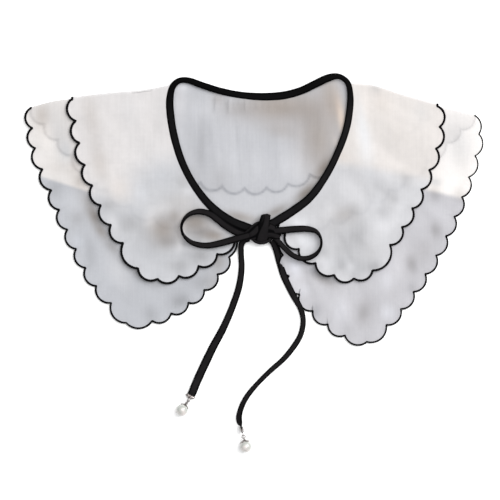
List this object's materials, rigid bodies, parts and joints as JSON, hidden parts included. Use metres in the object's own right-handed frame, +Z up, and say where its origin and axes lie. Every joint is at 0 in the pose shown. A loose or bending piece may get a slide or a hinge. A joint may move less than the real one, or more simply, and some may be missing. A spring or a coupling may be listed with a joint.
{
  "type": "collar shawl",
  "caption": "Detachable sheer layered collar with scalloped edges, a black neck binding and a tied bow whose tape ends carry pearl charms, laid flat.",
  "frame": {"origin": "middle of the collar's footprint, on the surface it lies on", "axes": "+Z up from the surface, +Y to the back of the neck, +X to the right of the collar as it lies face up"},
  "size_m": [0.389, 0.3219, 0.0115],
  "materials": {
    "long_cloth": "sheer white chiffon",
    "short_cloth": "sheer white chiffon",
    "bias_tape": "black bias tape",
    "silver_metal": "plated",
    "pearl": "pearl lustre"
  },
  "bodies": {
    "collar": {"long_cape": "long_cloth", "short_cape": "short_cloth", "neck_binding": "bias_tape", "bow_knot": "bias_tape", "loop_left": "bias_tape", "loop_right": "bias_tape", "tail_left": "bias_tape", "tail_right": "bias_tape", "crimp_left": "silver_metal", "crimp_right": "silver_metal"},
    "link_left": {"ring_left": "silver_metal"},
    "charm_left": {"cap_left": "silver_metal", "pearl_left": "pearl"},
    "link_right": {"ring_right": "silver_metal"},
    "charm_right": {"cap_right": "silver_metal", "pearl_right": "pearl"}
  },
  "joints": [
    {"name": "link_left_swing", "type": "hinge", "parent": "collar", "child": "link_left", "pos_m": [-0.05596, -0.16297, 0.002], "axis": [0, 0, 1], "range_deg": [-50, 50]},
    {"name": "charm_left_swing", "type": "hinge", "parent": "link_left", "child": "charm_left", "pos_m": [-0.05758, -0.16526, 0.002], "axis": [0, 0, 1], "range_deg": [-60, 60]},
    {"name": "link_right_lift", "type": "hinge", "parent": "collar", "child": "link_right", "pos_m": [-0.0093, -0.19192, 0.0037], "axis": [-0.9755, -0.2201, 0], "range_deg": [0, 60]},
    {"name": "charm_right_lift", "type": "hinge", "parent": "link_right", "child": "charm_right", "pos_m": [-0.00868, -0.19465, 0.0037], "axis": [-0.9755, -0.2201, 0], "range_deg": [0, 45]}
  ]
}
